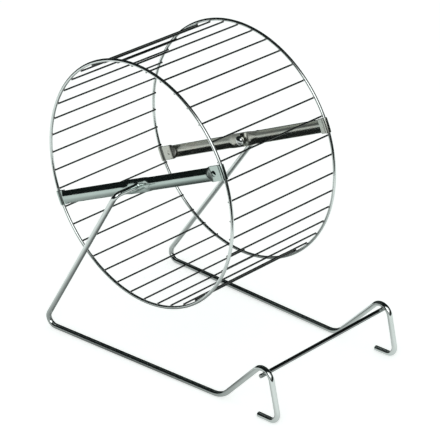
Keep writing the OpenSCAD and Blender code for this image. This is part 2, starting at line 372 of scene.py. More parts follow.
@dataclass(frozen=True)
class Nodes:
    """Tree of shader nodes, with short ways to add to it."""

    tree: bpy.types.NodeTree

    def add(
        self, kind: str, given: dict[str | int, Given] | None = None, **settings: object
    ) -> bpy.types.Node:
        """Add a node.

        Args:
            kind: Type of the node.
            given: For each input, by name or number, an output to link or a plain number or colour.
            settings: The node's own settings.

        Returns:
            The node.
        """
        node = self.tree.nodes.new(kind)
        for name, value in settings.items():
            setattr(node, name, value)
        for key, value in (given or {}).items():
            socket = node.inputs[key]
            if isinstance(value, bpy.types.NodeSocket):
                self.tree.links.new(value, socket)
            else:
                socket.default_value = (*value, 1) if socket.type == "RGBA" else value
        return node

    def calculate(self, operation: str, *values: Given) -> bpy.types.NodeSocket:
        """Result of a Math node that takes the values in order."""
        return self.add("ShaderNodeMath", dict(enumerate(values)), operation=operation).outputs["Value"]

    def measure(self, operation: str, first: Given, second: Given) -> bpy.types.NodeSocket:
        """Value that a Vector Math node works out from two places or directions."""
        node = self.add("ShaderNodeVectorMath", {0: first, 1: second}, operation=operation)
        return node.outputs["Value"]

    def blend(
        self, share: Given, first: Given, second: Given, colours: bool = True
    ) -> bpy.types.NodeSocket:
        """Result of a Mix node: the first colour or number at share 0, the second at share 1."""
        given, kind = {"Factor": share, "A": first, "B": second}, "RGBA" if colours else "FLOAT"
        return self.add("ShaderNodeMix", given, data_type=kind).outputs["Result"]

    def ramp(
        self,
        value: Given,
        ends: tuple[float, float],
        results: tuple[float, float],
        smooth: bool = True,
    ) -> bpy.types.NodeSocket:
        """Add a Map Range node.

        Args:
            value: What goes in.
            ends: Values between which the result changes.
            results: Results at and past the two ends.
            smooth: Whether the change is eased at both ends.

        Returns:
            Its result.
        """
        names = ("Value", "From Min", "From Max", "To Min", "To Max")
        given = dict(zip(names, (value, *ends, *results)))
        form = "SMOOTHSTEP" if smooth else "LINEAR"
        return self.add("ShaderNodeMapRange", given, interpolation_type=form).outputs["Result"]


def metal_marks() -> bpy.types.NodeTree:
    """Build the group of nodes for a metal's surface marks once, and give the same one from then on.

    A fine noise, drawn out along the metal, makes the lines that the tools leave. A coarse noise
    makes the cloudy film on the plating, and a very fine one its specks. All lie round 0.5.

    Returns:
        The group. Its inputs are Place, where the lines are read, and Stretch, their repeats in
        each direction. Its outputs are Lines, Film and Specks.
    """
    known = bpy.data.node_groups.get("metal_marks")
    if known:
        return known
    group = bpy.data.node_groups.new("metal_marks", "ShaderNodeTree")
    for name in ("Place", "Stretch"):
        group.interface.new_socket(name, in_out="INPUT", socket_type="NodeSocketVector")
    for name in ("Lines", "Film", "Specks"):
        group.interface.new_socket(name, in_out="OUTPUT", socket_type="NodeSocketFloat")
    nodes = Nodes(group)
    own = nodes.add("NodeGroupInput").outputs
    drawn = nodes.add("ShaderNodeMapping", {"Vector": own["Place"], "Scale": own["Stretch"]})
    place = nodes.add("ShaderNodeTexCoord").outputs["Object"]
    layers = {
        "Lines": (drawn.outputs["Vector"], 1.0, 3.0),
        "Film": (place, FILM_SCALE, 4.0),
        "Specks": (place, SPECK_SCALE, 2.0),
    }
    marks = {}
    for name, (where, scale, detail) in layers.items():
        noise = nodes.add("ShaderNodeTexNoise", {"Vector": where, "Scale": scale, "Detail": detail})
        marks[name] = noise.outputs["Fac"]
    nodes.add("NodeGroupOutput", marks)
    return group


@dataclass(frozen=True)
class MetalFinish:
    """Plated metal with the marks of its making.

    The stretch is how often the lines repeat: along the metal per metre, then round a wire per turn
    or across a sheet per metre. The rim tint is the share of its light that the metal keeps where
    it is seen at a grazing angle.
    """

    name: str
    colour: Colour
    film_colour: Colour
    roughness: float
    roughness_swing: float
    line_depth: float
    stretch: tuple[float, float, float]
    from_uv: bool = True
    cut_and_shade_colour: Colour = (0.16, 0.155, 0.15)
    cut_roughness: float = 0.55
    rim_tint: float = 1.0

    def material(self) -> bpy.types.Material:
        """Build the material once, and give the same one from then on.

        Returns:
            The material: the film tints the plating, the lines swing its roughness and bump it
            with the specks, and sawn ends are bare and dull. In the strips' creases the same mask paints
            shade: dark and dull.
        """
        known = bpy.data.materials.get(self.name)
        if known:
            return known
        made = bpy.data.materials.new(self.name)
        made.use_nodes = True
        tree = made.node_tree
        nodes = Nodes(tree)
        place = nodes.add("ShaderNodeTexCoord").outputs["UV" if self.from_uv else "Object"]
        lines = {"Place": place, "Stretch": self.stretch}
        marks = nodes.add("ShaderNodeGroup", lines, node_tree=metal_marks()).outputs
        cut = nodes.add("ShaderNodeAttribute", attribute_name="cut").outputs["Fac"]
        plating = nodes.blend(marks["Film"], self.colour, self.film_colour)
        swing = (self.roughness, self.roughness + self.roughness_swing)
        dull = nodes.ramp(marks["Lines"], (NOISE_LOW, NOISE_HIGH), swing, smooth=False)
        relief = nodes.calculate("MULTIPLY_ADD", marks["Specks"], SPECK_SHARE, marks["Lines"])
        bump = nodes.add("ShaderNodeBump", {"Distance": self.line_depth, "Height": relief})
        # At sawn ends the cut colour is bare steel; in the strips' creases it is painted shade.
        colour = nodes.blend(cut, plating, self.cut_and_shade_colour)
        roughness = nodes.blend(cut, dull, self.cut_roughness, colours=False)

        metal = tree.nodes["Principled BSDF"]
        metal.inputs["Metallic"].default_value = 1.0
        metal.inputs["Specular Tint"].default_value = (self.rim_tint, self.rim_tint, self.rim_tint, 1)
        tree.links.new(colour, metal.inputs["Base Color"])
        tree.links.new(roughness, metal.inputs["Roughness"])
        tree.links.new(bump.outputs["Normal"], metal.inputs["Normal"])
        return made


STAND_CHROME = MetalFinish(
    name="stand_chrome", colour=(0.70, 0.745, 0.73), film_colour=(0.59, 0.64, 0.62),
    roughness=0.06, roughness_swing=0.06, line_depth=0.006 * MM, stretch=(60.0, 14.0, 1.0),
    cut_and_shade_colour=(0.36, 0.38, 0.37), cut_roughness=0.4,
)
# The bar is the stand's chrome painted darker, with a lower rim tint: painted shade.
SHADED_BAR_CHROME = replace(
    STAND_CHROME, name="bar_chrome", colour=(0.32, 0.34, 0.335), film_colour=(0.24, 0.26, 0.25),
    roughness=0.12, roughness_swing=0.08, rim_tint=0.5,
)
HOOP_CHROME = MetalFinish(
    name="hoop_chrome", colour=(0.70, 0.745, 0.73), film_colour=(0.58, 0.63, 0.61),
    roughness=0.12, roughness_swing=0.10, line_depth=0.005 * MM, stretch=(80.0, 10.0, 1.0),
)
# The rungs are the hoops' chrome painted dark, with a low rim tint: painted shade.
SHADED_RUNG_CHROME = MetalFinish(
    name="rung_chrome", colour=(0.17, 0.18, 0.175), film_colour=(0.11, 0.118, 0.114),
    roughness=0.20, roughness_swing=0.12, line_depth=0.004 * MM, stretch=(110.0, 8.0, 1.0),
    cut_and_shade_colour=(0.30, 0.31, 0.305), cut_roughness=0.35, rim_tint=0.3,
)
# The strips have no sawn ends: their near-black cut colour is painted shade in the creases.
STRIP_CHROME = MetalFinish(
    name="strip_chrome", colour=(0.48, 0.56, 0.53), film_colour=(0.40, 0.48, 0.45),
    roughness=0.09, roughness_swing=0.08, line_depth=0.002 * MM, stretch=(40.0, 900.0, 1.0),
    cut_and_shade_colour=(0.03, 0.035, 0.033),
)
WARM_STRIP_CHROME = replace(
    STRIP_CHROME, name="warm_strip_chrome", colour=(0.46, 0.53, 0.495),
    film_colour=(0.50, 0.465, 0.41), roughness=0.15, roughness_swing=0.10,
)
CAP_CHROME = MetalFinish(
    name="cap_chrome", colour=(0.66, 0.69, 0.675), film_colour=(0.57, 0.60, 0.59),
    roughness=0.06, roughness_swing=0.06, line_depth=0.004 * MM, stretch=(2500.0, 3.0, 1.0),
)
WELD_METAL = MetalFinish(
    name="weld_metal", colour=(0.66, 0.67, 0.66), film_colour=(0.45, 0.45, 0.44),
    roughness=0.28, roughness_swing=0.20, line_depth=0.05 * MM, stretch=(1400.0, 1400.0, 1400.0),
    from_uv=False,
)


@dataclass(frozen=True)
class Piece:
    """One named piece: its surface, finish and place in the object."""

    name: str
    surface: Surface
    finish: MetalFinish
    body: Body
    slot: Slot
    replaces: tuple[str, ...] = ()

    def make(self) -> bpy.types.Object:
        """Put the surface into the scene as an object.

        Returns:
            The object, with its finish, riding on its body.
        """
        mesh = bpy.data.meshes.new(self.name)
        faces = self.surface.quads.tolist() + self.surface.triangles.tolist()
        mesh.from_pydata(self.surface.points.tolist(), [], faces)
        corner_points = np.empty(len(mesh.loops), dtype=np.int32)
        mesh.loops.foreach_get("vertex_index", corner_points)
        uv = mesh.uv_layers.new(name="UVMap")
        uv.data.foreach_set("uv", self.surface.along[corner_points].ravel())
        cut = mesh.attributes.new("cut", "FLOAT", "POINT")
        cut.data.foreach_set("value", self.surface.cut.astype(np.float32))
        mesh.polygons.foreach_set("use_smooth", np.ones(len(mesh.polygons), dtype=bool))
        mesh.materials.append(self.finish.material())
        mesh.update()
        made = bpy.data.objects.new(self.name, mesh)
        bpy.context.scene.collection.objects.link(made)
        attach(made, self.body.value)
        if self.replaces:
            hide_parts(*self.replaces)
        log.info("%s: %d faces on %s", self.name, len(faces), self.body.value)
        return made


# Wheel


@dataclass
class Hoops:
    """The wheel's two closed rings."""

    radius: float = 100 * MM
    wire_radius: float = 1.3 * MM
    half_spacing: float = 56.75 * MM
    rings: int = 480
    sides: int = 24

    def surface(self, side: Side) -> Surface:
        """Carry the wire in a circle round the axle.

        Args:
            side: Side of the wheel.

        Returns:
            The closed ring.
        """
        out, travel = round_axle(np.linspace(0, 2 * np.pi, self.rings, endpoint=False))
        path = AXLE + side.value * self.half_spacing * Y_WAY + self.radius * out
        radii = np.full(self.rings, self.wire_radius)
        return tube(path, travel, radii, self.sides, Y_WAY, closed=True)

    def build(self) -> None:
        """Make both hoops."""
        for side in Side:
            Piece(
                f"{side.word}_hoop_ring", self.surface(side), HOOP_CHROME, Body.WHEEL, Slot.WHEEL_WIRE,
                replaces=(f"{side.word}_hoop",),
            ).make()


@dataclass
class Rungs:
    """The running surface: straight wires welded inside the hoops, with their welds."""

    hoops: Hoops
    count: int = 40
    wire_radius: float = 0.7 * MM
    bite: float = 0.15 * MM
    overhang: float = 0.4 * MM
    tilt_deg: float = 22.2
    bevel: float = 0.2 * MM
    step: float = 6 * MM
    sides: int = 16
    weld_radii: tuple[float, float, float] = (0.95 * MM, 0.85 * MM, 0.42 * MM)
    weld_inset: float = 0.25 * MM

    @property
    def ring_radius(self) -> float:
        """Distance of the rungs from the axle."""
        return self.hoops.radius - self.hoops.wire_radius - self.wire_radius + self.bite

    def directions(self) -> tuple[np.ndarray, np.ndarray]:
        """Directions out to each rung and on round the wheel, from half a gap past the strips."""
        places = (np.arange(1, self.count + 1) - 0.5) * 2 * np.pi / self.count
        return round_axle(np.radians(self.tilt_deg) + places)

    def welds(self, side: Side) -> Surface:
        """Place the metal squeezed out where each rung is welded to a hoop.

        Args:
            side: Side of the hoop.

        Returns:
            The row of small beads.
        """
        out, travel = self.directions()
        axes = np.stack(np.broadcast_arrays(travel, Y_WAY, out), axis=1)
        contact = self.ring_radius + self.wire_radius - self.bite / 2
        middle = AXLE + side.value * (self.hoops.half_spacing - self.weld_inset) * Y_WAY
        return beads(middle + contact * out, axes, self.weld_radii)

    def build(self) -> None:
        """Make every rung, and the welds of each side."""
        reach = self.hoops.half_spacing + self.overhang
        for number, out in enumerate(self.directions()[0], start=1):
            route = crosswise(AXLE + self.ring_radius * out, reach)
            wire = cut_wire(route, self.wire_radius, self.bevel, self.step, self.sides)
            Piece(
                f"rung_wire_{number:02d}", wire, SHADED_RUNG_CHROME, Body.WHEEL, Slot.WHEEL_WIRE,
                replaces=(f"rung_{number:02d}",),
            ).make()
        for side in Side:
            Piece(
                f"{side.word}_rung_welds", self.welds(side), WELD_METAL, Body.WHEEL, Slot.WHEEL_WIRE
            ).make()


@dataclass(frozen=True)
class FoldedEnd:
    """How one end of a strip is finished, measured from the foot of its knuckle."""

    along_x: int
    flat: float
    leaf: float
    buttoned: bool


CLINCHED_END = FoldedEnd(along_x=1, flat=9.3 * MM, leaf=10 * MM, buttoned=True)
PLAIN_END = FoldedEnd(along_x=-1, flat=0.8 * MM, leaf=3.8 * MM, buttoned=False)


@dataclass
class Strip:
    """Folded sheet that spans the wheel: arched back, collar, and ends folded round the hoop."""

    hoops: Hoops
    blank_width: float = 12 * MM
    thickness: float = 0.8 * MM
    crown: float = 2.6 * MM
    tilt_deg: float = 22.2
    hub_crown: float = 1.3 * MM
    hub_length: float = 18 * MM
    hub_ramp: float = 8 * MM
    end_ramp: float = 2.6 * MM
    gap: float = 0.05 * MM
    seam: float = 0.15 * MM
    knuckle_slope_deg: float = 25
    knuckle_bend: float = 1.2 * MM
    button_radius: float = 2.2 * MM
    button_rise: float = 0.8 * MM
    button_run: float = 6.6 * MM
    pit_depth: float = 0.4 * MM
    bore_radius: float = 2.28 * MM
    collar_top: float = 0.2 * MM
    collar_foot: float = 1.33 * MM
    collar_rise: float = 0.9 * MM
    # Darkest share of the painted shade in the strips' creases.
    crease_shade_strength: float = 0.75
    knuckle_crease: float = 1.4 * MM
    edge_radius: float = 0.22 * MM
    hub_reach: float = 8.4 * MM
    hub_rings: int = 26
    hub_crowding: float = 1.5
    columns: int = 25
    side_columns: int = 31
    web_rows: int = 90
    ramp_rows: int = 18
    bend_rows: int = 7
    climb_rows: int = 3
    curl_rows: int = 26
    edge_rows: int = 4
    fewest_rows: int = 6
    fine_step: float = 0.3 * MM
    merge_cell: float = 0.001 * MM

    @property
    def sheet_y(self) -> float:
        """Distance of the sheet's middle from the wheel's middle, where the sheet is flat."""
        return self.hoops.half_spacing + (self.seam + self.thickness) / 2

    @property
    def knuckle_foot(self) -> float:
        """Distance from the axle at which the sheet's outer face begins to open round the hoop."""
        slope = np.radians(self.knuckle_slope_deg)
        outer_radius = self.hoops.wire_radius + self.gap + self.thickness
        climb = outer_radius * np.cos(slope) - self.seam / 2 - self.thickness
        return float(self.hoops.radius - outer_radius * np.sin(slope) - climb / np.tan(slope))

    def chord(self, rise: np.ndarray) -> np.ndarray:
        """Width of the arched sheet: the blank's, less 8/3 of the squared rise over that width."""
        return self.blank_width - 8 / 3 * rise**2 / self.blank_width - 2 * self.edge_radius

    def arch_end(self, end: FoldedEnd) -> float:
        """Distance from the axle at which the arch has run out at the given end."""
        return self.knuckle_foot - end.flat

    def arch(self, s: np.ndarray, end: FoldedEnd) -> np.ndarray:
        """Work out the arch's height as the smaller of two smooth ramps.

        One climbs from the hub's height to the full crown, the other from nothing to the crown.

        Args:
            s: Distances from the axle.
            end: The end that this half of the strip has.

        Returns:
            The height at each distance.
        """
        at_hub = ease((s - self.hub_length / 2) / self.hub_ramp)
        at_end = ease((self.arch_end(end) - s) / self.end_ramp)
        return np.minimum(self.hub_crown + (self.crown - self.hub_crown) * at_hub, self.crown * at_end)

    def knuckle(self) -> np.ndarray:
        """Lay out the middle of the sheet from the foot of the knuckle to the hoop's far side.

        A short arc starts the slope, and a long one follows the wire.

        Returns:
            Distances from the hoop's middle, across the wheel and out of it.
        """
        slope = np.radians(self.knuckle_slope_deg)
        radius = self.hoops.wire_radius + self.gap + self.thickness / 2
        level = (self.seam + self.thickness) / 2
        foot = -radius * np.sin(slope) - (radius * np.cos(slope) - level) / np.tan(slope)
        bend_start = foot - self.knuckle_bend * np.tan(slope / 2)
        a = np.linspace(0, slope, self.bend_rows)
        arc = self.knuckle_bend * np.stack([np.sin(a), -np.cos(a)], axis=1)
        bend = [bend_start, level + self.knuckle_bend] + arc
        b = np.linspace(np.pi / 2 + slope, 0, self.curl_rows)
        curl = radius * np.stack([np.cos(b), np.sin(b)], axis=1)
        climb = np.linspace(bend[-1], curl[0], self.climb_rows + 2)[1:-1]
        return np.concatenate([bend, climb, curl])

    def half_profile(self, end: FoldedEnd) -> tuple[np.ndarray, np.ndarray]:
        """Middle of the sheet from the hub to the leaf's end.

        Args:
            end: The end that this half has.

        Returns:
            Distances from the axle, across the wheel and out of the wheel's middle; and the height
            of the arch at each, which the knuckle and the leaf don't have.
        """
        hoop = np.array([self.hoops.radius, self.hoops.half_spacing])
        outer = self.knuckle() + hoop
        inner = (self.knuckle()[:-1] * [1, -1])[::-1] + hoop
        arch_end = self.arch_end(end)
        flat_rows = self.fewest_rows + int(end.flat / self.fine_step)
        leaf_rows = self.fewest_rows + int(end.leaf / self.fine_step)
        web_s = np.concatenate([
            np.linspace(self.hub_reach, arch_end - self.end_ramp, self.web_rows, endpoint=False),
            np.linspace(arch_end - self.end_ramp, arch_end, self.ramp_rows, endpoint=False),
            np.linspace(arch_end, outer[0, 0], flat_rows, endpoint=False),
        ])
        web = np.stack([web_s, np.full_like(web_s, self.sheet_y)], axis=1)
        leaf_end = [self.knuckle_foot - end.leaf + self.edge_radius, inner[-1, 1]]
        leaf = np.linspace(inner[-1], leaf_end, leaf_rows + 2)[1:]
        profile = np.concatenate([web, outer, inner, leaf])
        rise = np.concatenate([self.arch(web_s, end), np.zeros(len(profile) - len(web_s))])
        return profile, rise

    def half(self, end: FoldedEnd) -> np.ndarray:
        """Place one half of the sheet beside the wheel, lying along X.

        Across the strip the arch is a parabola. From the arch's end on, the sheet follows the
        hoop: s becomes sqrt(s^2 - z^2). The button lifts both layers as a round cap.

        Args:
            end: The end that this half has.

        Returns:
            Rows of points with X along the strip, Y out of the wheel, Z across the strip.
        """
        profile, rise = self.half_profile(end)
        s, height, rise = profile[:, :1], profile[:, 1:], rise[:, None]
        across = np.linspace(-1, 1, self.columns)
        z = across * self.chord(rise) / 2
        y = height + rise * (1 - across**2)
        inside = height < self.hoops.half_spacing
        rounding = np.where(inside, 1, np.clip((s - self.arch_end(end)) / end.flat, 0, 1))
        x = s + rounding * (np.sqrt(s**2 - z**2) - s)
        if end.buttoned:
            share = np.hypot(x - self.knuckle_foot + self.button_run, z) / self.button_radius
            lift = np.where(inside, self.pit_depth, self.button_rise)
            y = y + lift * np.clip(1 - share**2, 0, 1)
        return np.stack([end.along_x * x, y, z], axis=-1)

    def hub(self) -> np.ndarray:
        """Rings from the bearing hole to the edge of the hub, with the collar drawn up.

        Ring i, point j lies at share i of the way from the hole to the hub's rectangular outline,
        whose ends have the same points as the strip's columns. The arch is a parabola here too, and
        the collar stands level over the rings next to the hole.

        Returns:
            An array of rings, points and three coordinates, X along the strip.
        """
        across = np.linspace(-1, 1, self.columns)
        half_z = float(self.chord(np.array(self.hub_crown))) / 2
        steps = np.linspace(-self.hub_reach, self.hub_reach, self.side_columns + 2)[1:-1]
        outline = np.concatenate([
            np.stack([np.full(self.columns, self.hub_reach), across * half_z], axis=1),
            np.stack([steps[::-1], np.full(len(steps), half_z)], axis=1),
            np.stack([np.full(self.columns, -self.hub_reach), across[::-1] * half_z], axis=1),
            np.stack([steps, np.full(len(steps), -half_z)], axis=1),
        ])
        hole = unit(outline) * (self.bore_radius + self.edge_radius)
        share = np.linspace(0, 1, self.hub_rings)[:, None, None] ** self.hub_crowding
        flat = hole + (outline - hole) * share
        distance = np.linalg.norm(flat, axis=2) - self.bore_radius
        collar = ease((self.collar_foot - distance) / (self.collar_foot - self.collar_top))
        x, z = flat[..., 0], flat[..., 1]
        arch = self.hub_crown * (1 - (1 - collar) * (z / half_z) ** 2)
        return np.stack([x, self.sheet_y + arch + self.collar_rise * collar, z], axis=-1)

    def sheet(self) -> tuple[np.ndarray, np.ndarray]:
        """Middle of the whole sheet: two halves and the hub between them.

        Returns:
            The points, and four point numbers for each face. Points that lie on each other are
            one point.
        """
        layouts = []
        for end in (CLINCHED_END, PLAIN_END):
            half = self.half(end)
            quads = grid_quads(len(half), self.columns, False, False)
            layouts.append((half.reshape(-1, 3), quads[:, :: end.along_x]))
        hub = self.hub()
        layouts.append((hub.reshape(-1, 3), grid_quads(self.hub_rings, hub.shape[1], False, True)))
        first = np.cumsum([0] + [len(points) for points, _ in layouts[:-1]])
        points = np.concatenate([points for points, _ in layouts])
        quads = np.concatenate([quads + n for (_, quads), n in zip(layouts, first)])
        cells = np.round(points / self.merge_cell)
        _, kept, number = np.unique(cells, axis=0, return_index=True, return_inverse=True)
        return points[kept], number.reshape(-1)[quads]

    def crease_shade(self, x: np.ndarray) -> np.ndarray:
        """Work out the painted shade in the creases.

        There is none but at the step where the arch ends over the clinched leaf, and on the slope
        of each knuckle. There the painted shade, dark and dull, grows smoothly towards the crease's
        middle.

        Args:
            x: Places along the strip.

        Returns:
            The share of the painted shade at each place.
        """
        step = self.arch_end(CLINCHED_END) - self.end_ramp / 2
        slope = self.knuckle_foot + self.knuckle_crease
        at_step = 1 - np.abs(x - step) / self.end_ramp
        at_slope = 1 - np.abs(np.abs(x) - slope) / self.knuckle_crease
        return self.crease_shade_strength * ease(np.maximum(at_step, at_slope))

    def thick_sheet(self) -> tuple[np.ndarray, np.ndarray]:
        """Give the sheet its thickness and rounded edges.

        Each point moves along its normal by half the thickness to either side. Round the edges, a
        row of points at (reach, height) pairs turns from one face to the other.

        Returns:
            The points, and four point numbers for each face.
        """
        points, quads = self.sheet()
        first_edge, second_edge = (points[quads[:, k + 2]] - points[quads[:, k]] for k in (0, 1))
        face_normals = np.cross(first_edge, second_edge)
        normals = np.zeros_like(points)
        for k in range(4):
            np.add.at(normals, quads[:, k], face_normals)
        normals = unit(normals)

        edges = quads[:, [0, 1, 1, 2, 2, 3, 3, 0]].reshape(-1, 2)
        code = np.sort(edges, axis=1) @ np.array([len(points), 1])
        _, place, times = np.unique(code, return_inverse=True, return_counts=True)
        rim = edges[times[place.reshape(-1)] == 1]
        outwards = np.zeros_like(points)
        rim_out = np.cross(unit(points[rim[:, 1]] - points[rim[:, 0]]), normals[rim[:, 0]])
        np.add.at(outwards, rim[:, 0], rim_out)
        np.add.at(outwards, rim[:, 1], rim_out)
        rim_points = np.unique(rim)
        outwards[rim_points] = unit(outwards[rim_points])

        half = self.thickness / 2
        turn = np.linspace(0, np.pi / 2, self.edge_rows + 1)[1:]
        reach = self.edge_radius * np.sin(turn)
        height = half - self.edge_radius + self.edge_radius * np.cos(turn)
        lip_reach = np.concatenate([reach, reach[::-1]])
        lip_height = np.concatenate([height, -height[::-1]])
        lip = (
            points[rim_points]
            + lip_reach[:, None, None] * outwards[rim_points]
            + lip_height[:, None, None] * normals[rim_points]
        )
        count, rim_count = len(points), len(rim_points)
        number = np.full(count, -1)
        number[rim_points] = np.arange(rim_count)
        lip_numbers = 2 * count + np.arange(len(lip_reach) * rim_count).reshape(-1, rim_count)
        layers = np.vstack([rim_points, lip_numbers, count + rim_points])
        a, b = number[rim[:, 0]], number[rim[:, 1]]
        upper, lower = layers[:-1], layers[1:]
        walls = np.stack([upper[:, b], upper[:, a], lower[:, a], lower[:, b]], axis=-1).reshape(-1, 4)
        outer, inner = points + half * normals, points - half * normals
        faces = np.concatenate([quads, quads[:, ::-1] + count, walls])
        return np.concatenate([outer, inner, lip.reshape(-1, 3)]), faces

    def surface(self, side: Side) -> Surface:
        """Set the thick sheet across the wheel, turned by the tilt about the axle.

        The rear strip is the front one turned half round about its own width.

        Args:
            side: Side of the wheel.

        Returns:
            The strip's closed surface.
        """
        points, faces = self.thick_sheet()
        tilt = np.radians(self.tilt_deg)
        x, y, z = points.T
        # Painted shade in the creases, carried by the cut attribute to the dark cut colour.
        dull = self.crease_shade(x)
        x, y = -side.value * x, side.value * y
        placed = AXLE + np.stack([
            x * np.cos(tilt) - z * np.sin(tilt),
            y,
            x * np.sin(tilt) + z * np.cos(tilt),
        ], axis=1)
        none = np.zeros((0, 3), dtype=int)
        return Surface(placed, faces, none, np.stack([x, z], axis=1), dull).faces_out()

    def build(self) -> None:
        """Make both strips."""
        for side, finish in ((Side.FRONT, STRIP_CHROME), (Side.REAR, WARM_STRIP_CHROME)):
            Piece(
                f"{side.word}_folded_strip", self.surface(side), finish, Body.WHEEL, Slot.STRIP_SHEET,
                replaces=(f"{side.word}_strip",),
            ).make()


# Stand


@dataclass
class StandSizes:
    """Where the side wires run, from the axle, in metres."""

    wire_radius: float = 2.2 * MM
    stub_end: float = 53.97 * MM
    arm_half: float = 80.4 * MM
    corner_half: float = 74.6 * MM
    front_corner_back: float = 104 * MM
    rear_corner_back: float = 114 * MM
    kick_half: float = 66.4 * MM
    kick_ahead: float = 91.8 * MM
    hook_half: float = 67.7 * MM
    hook_ahead: float = 143.1 * MM
    hook_rise: float = 50.8 * MM
    leg_run: float = 9.1 * MM
    foot_length: float = 21 * MM
    bend_radii: list[float] = field(default_factory=lambda: [5 * MM, 7 * MM, 22 * MM, 9 * MM, 7 * MM])
    hook_bend: int = 3
    bevel: float = 0.5 * MM

    def corners(self, side: Side) -> np.ndarray:
        """Place the corners of one side wire.

        Args:
            side: Side of the stand.

        Returns:
            The corners from the inner end of the stub to the tip of the foot.
        """
        back = self.front_corner_back if side is Side.FRONT else self.rear_corner_back
        x, _, z = AXLE
        low = self.wire_radius
        hook_x = x + self.hook_ahead
        foot_x = hook_x + self.leg_run
        ways = np.array([
            [x, self.stub_end, z],
            [x, self.arm_half, z],
            [x - back, self.corner_half, low],
            [x + self.kick_ahead, self.kick_half, low],
            [hook_x, self.hook_half, low + self.hook_rise],
            [foot_x, self.hook_half, low],
            [foot_x - self.foot_length, self.hook_half, low],
        ])
        return ways * [1, side.value, 1]


@dataclass
class SideWires:
    """The two bent wires that carry the wheel."""

    sizes: StandSizes
    sides: int = 32
    step: float = 0.8 * MM
    beside: tuple[float, float, float] = (0.5, 0.7, 0.5)

    def build(self) -> None:
        """Make both side wires."""
        for side in Side:
            route = Route(self.sizes.corners(side), self.sizes.bend_radii)
            beside = unit(np.array(self.beside) * [1, side.value, 1])
            wire = cut_wire(route, self.sizes.wire_radius, self.sizes.bevel, self.step, self.sides, beside)
            Piece(
                f"{side.word}_stand_wire", wire, STAND_CHROME, Body.STAND, Slot.STAND_WIRE,
                replaces=(f"{side.word}_side_wire",),
            ).make()


@dataclass
class CrossBar:
    """Bar welded inside both hook bends."""

    sizes: StandSizes
    radius: float = 1.7 * MM
    overhang: float = 2.4 * MM
    step: float = 2 * MM
    sides: int = 24
    weld_radii: tuple[float, float, float] = (1.3 * MM, 1.7 * MM, 1.0 * MM)

    def build(self) -> None:
        """Make the bar and its two welds."""
        bend = self.sizes.hook_bend
        kick, top, leg = self.sizes.corners(Side.REAR)[bend : bend + 3] * [1, 0, 1]
        bend_radius = self.sizes.bend_radii[bend]
        down_kick, down_leg = unit(kick - top), unit(leg - top)
        inside = unit(down_kick + down_leg)
        half_angle = np.arccos(down_kick @ down_leg) / 2
        centre = top + inside * bend_radius / np.sin(half_angle)
        contact = centre - inside * (bend_radius - self.sizes.wire_radius)
        reach = self.sizes.hook_half + self.sizes.wire_radius + self.overhang
        route = crosswise(contact + inside * self.radius, reach)
        bar = cut_wire(route, self.radius, self.sizes.bevel, self.step, self.sides)
        Piece(
            "hook_cross_bar", bar, SHADED_BAR_CHROME, Body.STAND, Slot.STAND_WIRE, replaces=("cross_bar",)
        ).make()
        travel = np.array([inside[2], 0, -inside[0]])
        axes = np.stack([travel, Y_WAY, inside])
        for side in Side:
            place = contact + side.value * self.sizes.hook_half * Y_WAY
            weld = beads(place[None], axes[None], self.weld_radii)
            Piece(f"{side.word}_bar_weld", weld, WELD_METAL, Body.STAND, Slot.STAND_WIRE).make()


@dataclass
class AxleCaps:
    """Domed caps on the inner ends of the stubs."""

    sizes: StandSizes
    radius: float = 3.8 * MM
    length: float = 4.4 * MM
    end: float = 1.2 * MM
    dome_radius: float = 5 * MM
    mouth_y: float = 57.17 * MM
    rim: float = 0.35 * MM
    mouth_bevel: float = 0.1 * MM
    floor_share: float = 0.3
    pole_angle: float = 0.02
    dome_rings: int = 14
    rim_rings: int = 6
    sides: int = 48

    def profile(self) -> np.ndarray:
        """Lay out the cap's section: a round dome, a quarter circle at the rim, and the bore.

        Returns:
            Heights from the mouth and radii, from the dome's pole over the outside, then up the
            bore to its flat floor.
        """
        a = np.linspace(self.pole_angle, np.arcsin(self.radius / self.dome_radius), self.dome_rings)
        b = np.linspace(0, np.pi / 2, self.rim_rings)
        bore, floor = self.sizes.wire_radius, self.length - self.end
        floor_ring = self.floor_share * bore
        dome = [self.length - self.dome_radius * (1 - np.cos(a)), self.dome_radius * np.sin(a)]
        rim = [self.rim * (1 - np.sin(b)), self.radius - self.rim * (1 - np.cos(b))]
        inside = [[0, self.mouth_bevel, floor, floor], [bore + self.mouth_bevel, bore, bore, floor_ring]]
        return np.concatenate([dome, rim, inside], axis=1).T

    def build(self) -> None:
        """Make both caps."""
        for side in Side:
            start = AXLE + side.value * self.mouth_y * Y_WAY
            cap = turned_piece(self.profile(), start, -side.value * Y_WAY, self.sides)
            Piece(
                f"{side.word}_domed_cap", cap, CAP_CHROME, Body.STAND, Slot.CAP_METAL,
                replaces=(f"{side.word}_axle_cap",),
            ).make()


# Studio


@dataclass(frozen=True)
class Window:
    """Soft round patch of white that the chrome mirrors between the dark cards."""

    azimuth_deg: float
    elevation_deg: float
    core_deg: float
    edge_deg: float

    def way(self) -> np.ndarray:
        """Work out where the patch is seen.

        Returns:
            The direction from the object, with azimuth 0 along +X and 90 along +Y.
        """
        azimuth, elevation = np.radians([self.azimuth_deg, self.elevation_deg])
        level = np.cos(elevation)
        return np.array([level * np.cos(azimuth), level * np.sin(azimuth), np.sin(elevation)])


def stand_at(place: np.ndarray, right: np.ndarray, up: np.ndarray, back: np.ndarray) -> Matrix:
    """Matrix of a lamp or camera at a place, with its own three axes in the columns before it."""
    columns = np.stack([right, up, back, place], axis=1)
    return Matrix(np.vstack([columns, [0, 0, 0, 1]]).tolist())


